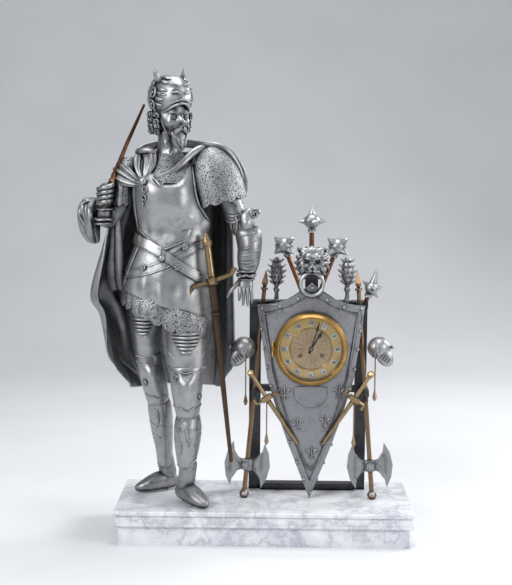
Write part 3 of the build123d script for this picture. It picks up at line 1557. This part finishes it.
tassets()
leg_pieces("cuisses", (left_thigh_shares, right_thigh_shares), (mail_skirt(),))
knee_cops()
leg_pieces("greaves", (left_greave_shares, right_greave_shares))
boots()
head()
helmet()
sword_over_shoulder = carried_sword()
sleeves_piece = mail_sleeves((torso, left_arm_solid, sword_over_shoulder))
finish(left_arm_solid, "left_arm", (torso,))
finish(elbow_cop(), "elbow_cop", (left_arm_solid, sleeves_piece))
left_hand()
fist_piece = finish(right_fist(), "right_fist", (sleeves_piece, sword_over_shoulder, torso))
hilt_piece = sword_hilt()
belts_piece = finish(belts(), "belts", (torso, tasset_solid, hilt_piece))
finish(scabbard(), "scabbard", (hilt_piece, belts_piece))
upper_body = (torso, tasset_solid, sleeves_piece, fist_piece, sword_over_shoulder, belts_piece)
cape_piece = finish(cape(), "cape", upper_body)
finish(cape_bundle(), "cape_bundle", (sleeves_piece, fist_piece, cape_piece, sword_over_shoulder))
finish(shoulder_cape(), "shoulder_cape", (torso, sleeves_piece, cape_piece, head_solid, sword_over_shoulder))


# Trophy of arms. Places are in shares of the shield's width, from the dial's centre.

left_foot_share = (-0.6107, -0.0400, -1.4182)
left_top_share = (-0.4225, 0.1700, 0.7000)
right_foot_share = (0.5868, -0.0400, -1.4182)
right_top_share = (0.4290, 0.1700, 0.7000)


def trophy_point(x, y, z):
    """Point of the trophy, in shares of the shield's width from the dial's centre."""
    return Vector(clock_x, 0, dial_z) + Vector(x, y, z) * shield_w


def along_shaft(foot, top, z):
    """Point on a halberd's shaft at height z."""
    low = trophy_point(*foot)
    high = trophy_point(*top)
    return low + (high - low) * ((z - low.Z) / (high.Z - low.Z))


def spikes(places, radius, length):
    """Four-sided pointed spikes; a place is a pair of a foot and a direction."""
    points = []
    for foot, way in places:
        plane = Plane(origin=foot, z_dir=way)
        corners = [plane.from_local_coords(Vector(x, y, 0)) for x, y in oval(radius, radius, 4)]
        points.append(Solid.make_loft([Wire.make_polygon(corners), Vertex(foot + way.normalized() * length)], True))
    add(points)


def ball(centre, radius, sides=10):
    """Faceted ball."""
    rows = []
    for angle in (-75, -40, 0, 40, 75):
        ring = radius * cos(radians(angle))
        rows.append((0, 0, radius * sin(radians(angle)), ring, ring))
    ring_loft(Plane(origin=centre, x_dir=(1, 0, 0), z_dir=(0, 0, 1)), rows, 1.0, sides, 2.0)


def star_head(centre, radius, lean, count):
    """Spiked ball: a ring of spikes seen from the front, two smaller rings and a top spike."""
    places = []
    for i in range(count):
        a = radians(90 + lean + 360 * i / count)
        places.append((Vector(cos(a), 0, sin(a)), Vector(cos(a), 0, sin(a))))
    for tilt in (-1, 1):
        for i in range(count - 1):
            a = radians(90 + lean + 360 * (i + 0.5) / (count - 1))
            way = Vector(cos(a) * 0.66, tilt * 0.75, sin(a) * 0.66)
            places.append((way, way))
    ball(centre, radius)
    spikes([(centre + foot * radius * 0.85, way) for foot, way in places], spike_r, spike_l)


def halberd_shafts():
    """Two upturned halberds' shafts on ball feet, each with a spear finial."""
    with BuildPart() as shafts:
        for foot, top in ((left_foot_share, left_top_share), (right_foot_share, right_top_share)):
            low = trophy_point(*foot)
            high = trophy_point(*top)
            way = (high - low).normalized()
            start = low + Vector(0, 0, shaft_r * 1.5)
            rod(start, high - way * finial_l, shaft_r, shaft_r * 0.9)
            neck = high - way * finial_l
            belly = high - way * finial_l * 0.62
            rod(neck, neck + way * shaft_r, shaft_r * 1.5, shaft_r * 1.5)
            bar(neck + way * shaft_r, belly, shaft_r * 0.7, shaft_r * 1.6, 6)
            bar(belly, high, shaft_r * 1.6, shaft_r * 0.2, 6)
            rows = []
            for height, width in ((0, 1.2), (0.6, 1.8), (1.6, 2.1), (2.6, 1.8), (3.4, 1.0)):
                rows.append((0, 0, height, width, width))
            ring_loft(Plane(origin=low, x_dir=(1, 0, 0), z_dir=(0, 0, 1)), rows, shaft_r, 12, 2.0)
    save(shafts, "halberd_shafts")
    return shafts


# outline of a quarter of a double axe, in shares of half its width and half its height
axe_shares = [
    (0.16, 0.20),
    (0.40, 0.30),
    (0.60, 0.58),
    (0.68, 1.00),
    (0.90, 0.56),
    (1.00, 0.00),
]


def axe_heads(shafts):
    """Two double axe heads, each with a square socket round its shaft and a stud."""
    places = (
        (along_shaft(left_foot_share, left_top_share, dial_z - shield_w * 1.109), left_foot_share, left_top_share),
        (along_shaft(right_foot_share, right_top_share, dial_z - shield_w * 1.109), right_foot_share, right_top_share),
    )
    with BuildPart() as heads:
        for centre, foot, top in places:
            up = (trophy_point(*top) - trophy_point(*foot)).normalized()
            across = (Vector(0, -1, 0).cross(up) * -1).normalized()
            facing = across.cross(up).normalized()
            plane = Plane(origin=centre - facing * axe_t / 2, x_dir=across, z_dir=facing)
            upper = [(x * axe_w / 2, y * axe_h / 2) for x, y in axe_shares]
            lower = [(x, -y) for x, y in upper[-2::-1]]
            right = upper + lower
            left = [(-x, y) for x, y in right[::-1]]
            with BuildSketch(plane) as blade:
                Polygon(*(right + left))
            extrude(blade.sketch, amount=axe_t)
            socket = Plane(origin=centre - facing * shaft_r * 1.7, x_dir=across, z_dir=facing)
            with BuildSketch(socket) as boss:
                Rectangle(shaft_r * 4, shaft_r * 4.6)
            extrude(boss.sketch, amount=shaft_r * 3.4)
            bar(centre + facing * shaft_r * 1.6, centre + facing * shaft_r * 2.2, shaft_r * 0.9, shaft_r * 0.5, 8)
        add(shafts.part, mode=Mode.SUBTRACT)
    save(heads, "axe_heads")
    return heads


# each mace: centre, foot of its shaft, ball radius over mace_r, lean in degrees and number of spikes
mace_shares = [
    ((0.0000, 1.1600), (0.0000, 0.4113), 0.0, 6),
    ((-0.2570, 0.9320), (-0.0500, 0.4113), 26.0, 5),
    ((0.2410, 0.9270), (0.0500, 0.4113), -26.0, 5),
    ((0.5650, 0.5360), (0.5150, 0.4113), -16.0, 6),
]


def maces(shelf):
    """Four spiked maces that stand on the shelf behind the shield; the fourth has a tall cone."""
    with BuildPart() as group:
        for i, (head_place, foot_place, lean, count) in enumerate(mace_shares):
            radius = (mace_r, side_mace_r, side_mace_r, cone_mace_r)[i]
            centre = Vector(clock_x + head_place[0] * shield_w, mace_y, dial_z + head_place[1] * shield_w)
            foot = Vector(clock_x + foot_place[0] * shield_w, mace_y, upper_bar_z + bar_h)
            way = (centre - foot).normalized()
            star_head(centre, radius * 0.8, lean, count)
            bar(foot, centre, shaft_r * 0.75, shaft_r * 0.9, 8)
            bar(centre - way * radius * 1.25, centre - way * radius * 0.7, shaft_r * 1.6, shaft_r * 1.2, 8)
            if i == len(mace_shares) - 1:
                bar(centre, centre + way * cone_mace_r * 3.2, cone_mace_r * 0.62, cone_mace_r * 0.1, 8)
        add(shelf.part, mode=Mode.SUBTRACT)
    save(group, "maces")


club_x_share = 0.3120
# height, then radius, of each ring of a club, in shares of the club's radius from its middle
club_shares = [
    (-2.55, 0.95),
    (-2.35, 0.95),
    (-2.25, 0.55),
    (-1.95, 0.38),
    (-1.75, 0.60),
    (-1.60, 0.45),
    (-1.20, 0.80),
    (-0.30, 1.10),
    (0.70, 0.95),
    (1.50, 0.55),
    (1.95, 0.12),
]


def spiked_clubs():
    """Two pine-cone clubs with tiers of leaf spikes on turned necks, standing on the shelf."""
    with BuildPart() as pair:
        for side in (-1, 1):
            centre = Vector(clock_x + side * club_x_share * shield_w, mace_y, upper_bar_z + bar_h + club_r * 2.55)
            rows = [(0, 0, height, radius, radius) for height, radius in club_shares]
            ring_loft(Plane(origin=centre, x_dir=(1, 0, 0), z_dir=(0, 0, 1)), rows, club_r, 10, 2.0)
            places = []
            for tier, (height, radius) in enumerate(((-0.9, 0.85), (-0.2, 1.0), (0.5, 0.9), (1.1, 0.6))):
                for i in range(7):
                    a = 2 * pi * (i + 0.5 * (tier % 2)) / 7
                    out = Vector(cos(a), sin(a), 0)
                    places.append((centre + out * radius * club_r * 0.85 + Vector(0, 0, height * club_r), out + Vector(0, 0, 0.9)))
            spikes(places, spike_r, spike_l)
    save(pair, "spiked_clubs")
    return pair


def lion_mask():
    """Lion mask with ears and a muzzle that is bored across for the ring."""
    centre = Vector(clock_x, 0, ring_top_z + lion_h * 0.34)
    face = Plane(origin=centre, x_dir=(1, 0, 0), z_dir=(0, -1, 0))
    # height of the middle, distance to the front, half width and half height of each ring
    rows = [
        (0.00, -0.30, 0.50, 0.50),
        (0.00, -0.10, 0.52, 0.52),
        (0.02, 0.15, 0.42, 0.42),
        (0.06, 0.32, 0.24, 0.26),
    ]
    muzzle = [
        (-0.30, 0.05, 0.22, 0.23),
        (-0.34, 0.60, 0.20, 0.21),
        (-0.34, 0.92, 0.19, 0.20),
        (-0.32, 1.12, 0.13, 0.13),
    ]
    with BuildPart() as mask:
        for table in (rows, muzzle):
            sections = []
            for up, out, half, high in table:
                plane = Plane(origin=face.from_local_coords(Vector(0, up * lion_h, out * lion_t)), x_dir=(1, 0, 0), z_dir=(0, -1, 0))
                with BuildSketch(plane) as ring:
                    Polygon(*oval(half * lion_w, high * lion_h, 12, 2.2))
                sections.append(ring.sketch)
            loft(sections, ruled=True)
        for side in (-1, 1):
            start = face.from_local_coords(Vector(side * lion_w * 0.30, lion_h * 0.34, 0))
            end = face.from_local_coords(Vector(side * lion_w * 0.40, lion_h * 0.50, lion_t * 0.25))
            bar(start, end, lion_w * 0.11, lion_w * 0.06, 6)
        left = Vector(clock_x - lion_w, ring_y, ring_top_z)
        right = Vector(clock_x + lion_w, ring_y, ring_top_z)
        rod(left, right, ring_tube_r * 2.2, ring_tube_r * 2.2, Mode.SUBTRACT)
    save(mask, "lion_mask")


def knocker_ring():
    """Ring that hangs through the lion's mouth."""
    with BuildPart() as ring:
        with BuildSketch(Plane.XY.offset(ring_top_z - ring_r)) as section:
            with Locations((clock_x + ring_r, ring_y)):
                RegularPolygon(ring_tube_r, 8)
        revolve(section.sketch, axis=Axis((clock_x, ring_y, ring_top_z - ring_r), (0, 1, 0)))
    save(ring, "knocker_ring")


dagger_share = [
    # pommel, guard and tip of the left dagger; the right one mirrors it
    (-0.5530, -0.0750, -0.2300),
    (-0.4040, -0.0640, -0.4640),
    (-0.1150, -0.0450, -0.9020),
]


def daggers(neighbours):
    """Two sheathed daggers laid over the shield's border, with blocks, curled quillons and pommels."""
    pommel, guard, tip = dagger_share
    with BuildPart() as pair:
        for side in (-1, 1):
            top = trophy_point(-side * pommel[0], pommel[1], pommel[2])
            middle = trophy_point(-side * guard[0], guard[1], guard[2])
            end = trophy_point(-side * tip[0], tip[1], tip[2])
            down = (end - middle).normalized()
            across = down.cross(Vector(0, 1, 0)).normalized()
            rod(top, middle, dagger_r * 0.8, dagger_r * 0.8)
            ball(top, dagger_r * 1.5, 8)
            bar(middle, end, dagger_r, dagger_r * 0.6, 6)
            plane = Plane(origin=middle - down * dagger_r, x_dir=across, z_dir=down)
            with BuildSketch(plane) as block_face:
                Rectangle(dagger_r * 4.4, dagger_r * 2.2)
            extrude(block_face.sketch, amount=dagger_r * 2)
            for way in (-1, 1):
                reach = middle + across * way * dagger_r * 4.6
                bar(middle, reach, dagger_r * 0.7, dagger_r * 0.5, 6)
                bar(reach, reach + down * way * dagger_r * 2.2, dagger_r * 0.5, dagger_r * 0.7, 6)
        for neighbour in neighbours:
            add(neighbour.part, mode=Mode.SUBTRACT)
    save(pair, "daggers")
    return pair


def small_helmets(shafts):
    """Two small helmets hung outward on the halberds, each with a knob, a visor band and a strap."""
    with BuildPart() as pair:
        for side, foot, top in ((-1, left_foot_share, left_top_share), (1, right_foot_share, right_top_share)):
            on_shaft = along_shaft(foot, top, dial_z)
            way = Vector(side, -0.1, 0.18).normalized()
            centre = on_shaft + way * small_helm_r * 1.25
            frame = Plane(origin=centre, x_dir=Vector(0, 1, 0), z_dir=way)
            outer = [(0, 0, -0.55, 1.0, 1.0), (0, 0, -0.30, 1.06, 1.06), (0, 0, -0.05, 0.98, 0.98), (0, 0, 0.45, 0.80, 0.80)]
            outer = outer + [(0, 0, 0.80, 0.46, 0.46), (0, 0, 0.95, 0.12, 0.12)]
            inner = [(0, 0, -0.60, 0.86, 0.86), (0, 0, 0.0, 0.84, 0.84), (0, 0, 0.62, 0.40, 0.40)]
            ring_loft(frame, outer, small_helm_r, 12, 2.0)
            ring_loft(frame, inner, small_helm_r, 12, 2.0, 0, False, Mode.SUBTRACT)
            ball(centre + way * small_helm_r * 1.05, small_helm_r * 0.16, 8)
            bar(on_shaft, centre + way * small_helm_r * 0.8, shaft_r, shaft_r, 8)
        add(shafts.part, mode=Mode.SUBTRACT)
    save(pair, "small_helmets")
    return pair


# across, depth, top height and bottom height of each tassel
tassel_shares = [
    (-0.6050, 0.0880, -0.0600, -0.5650),
    (0.6050, 0.0880, -0.0600, -0.5110),
    (-0.4040, -0.0640, -0.4700, -0.9050),
    (0.4040, -0.0640, -0.4700, -0.9150),
]


def chain_tassels(neighbours):
    """Four cast cords with pear drops, hanging from the small helmets and the daggers' guards."""
    with BuildPart() as group:
        for x, y, high, low in tassel_shares:
            start = trophy_point(x, y, high)
            end = trophy_point(x, y, low)
            drop = tassel_r * 5
            bar(start, end + Vector(0, 0, drop), tassel_r * 0.3, tassel_r * 0.3, 6)
            bar(end + Vector(0, 0, drop), end + Vector(0, 0, drop * 0.3), tassel_r * 0.3, tassel_r, 8)
            bar(end + Vector(0, 0, drop * 0.3), end, tassel_r, tassel_r * 0.4, 8)
        for neighbour in neighbours:
            add(neighbour.part, mode=Mode.SUBTRACT)
    with BuildPart() as kept:
        add(group.part.solids().sort_by(SortBy.VOLUME)[-len(tassel_shares):])
    save(kept, "chain_tassels")


# Rear frame behind the clock


def rear_posts():
    """Two upright posts from the marble to the shelf, drilled for the tie rods."""
    with BuildPart() as posts:
        for x in (post_left_x, post_right_x):
            with BuildSketch(Plane.XY.offset(base_h)) as foot:
                with Locations((x, post_y)):
                    Rectangle(post_w, post_t)
            extrude(foot.sketch, amount=upper_bar_z - base_h)
        for x, y in rod_places[2:]:
            with BuildSketch(Plane.XY.offset(base_h)) as bore:
                with Locations((x, y)):
                    Circle(rod_r + pivot_fit)
            extrude(bore.sketch, amount=rod_reach + bezel_gap, mode=Mode.SUBTRACT)
    save(posts, "rear_posts")
    return posts


def rear_bars(shield_piece, shafts, posts):
    """Shelf under the trophy, drum saddle, foot plate, and the arms that hold the shield and the halberds."""
    back = post_y + post_t / 2
    front = post_y - post_t / 2
    left = post_left_x - post_w / 2 - clock_x
    right = post_right_x + post_w / 2 - clock_x
    low_left = post_left_x + post_w / 2 - clock_x
    low_right = post_right_x - post_w / 2 - clock_x
    shelf_z = upper_bar_z - dial_z
    saddle_z = lower_bar_z - dial_z
    lug_x = shield_w * 0.27
    sheet_y = shield_front_y + shield_t / 2
    lug_y = sheet_y + (lug_x + arm_w / 2) ** 2 / (2 * shield_bow_r)
    with BuildPart() as bars:
        block((left, right), (back - shelf_d, back), (shelf_z, shelf_z + bar_h))
        block((-tongue_w / 2, tongue_w / 2), (sheet_y, back - shelf_d), (shelf_z, shelf_z + bar_h))
        block(
            (-tongue_w / 2, tongue_w / 2), (lion_t * 0.3, lion_t * 0.3 + tongue_t),
            (shelf_z, ring_top_z + lion_h * 0.5 - dial_z),
        )
        block((low_left, low_right), (front, back), (saddle_z, saddle_z + bar_h))
        block((-tongue_w, tongue_w), (front, back), (saddle_z, -drum_r / 2))
        for side in (-1, 1):
            span = sorted((side * lug_x, side * (lug_x + arm_w)))
            block(span, (lug_y, front), (saddle_z, saddle_z + bar_h))
        block((low_left, low_right), (front - post_t / 2, back), (base_h - dial_z, base_h - dial_z + foot_plate_h))
        for foot, top, post_x in (
            (left_foot_share, left_top_share, post_left_x),
            (right_foot_share, right_top_share, post_right_x),
        ):
            for z, y in ((lower_bar_z, front), (upper_bar_z, back - shelf_d)):
                hold = along_shaft(foot, top, z + arm_h / 2)
                way = (trophy_point(*top) - trophy_point(*foot)).normalized()
                span = (hold.X - clock_x - arm_w / 2, hold.X - clock_x + arm_w / 2)
                block(span, (hold.Y, y), (z - dial_z, z - dial_z + arm_h))
                collar = hold - way * arm_h / 2
                bar(collar, collar + way * arm_h, shaft_r + collar_t, shaft_r + collar_t, 10)
        disc((0, 0), drum_r, drum_front_y, drum_back_y, Mode.SUBTRACT)
        for neighbour in (shield_piece, shafts, posts):
            add(neighbour.part, mode=Mode.SUBTRACT)
    save(bars, "rear_bars")
    return bars


shafts_piece = halberd_shafts()
posts_piece = rear_posts()
shelf_piece = rear_bars(shield_plate, shafts_piece, posts_piece)
axe_heads(shafts_piece)
maces(shelf_piece)
spiked_clubs()
lion_mask()
knocker_ring()
daggers_piece = daggers((shield_plate, shafts_piece))
helmets_piece = small_helmets(shafts_piece)
chain_tassels((helmets_piece, daggers_piece, shafts_piece))
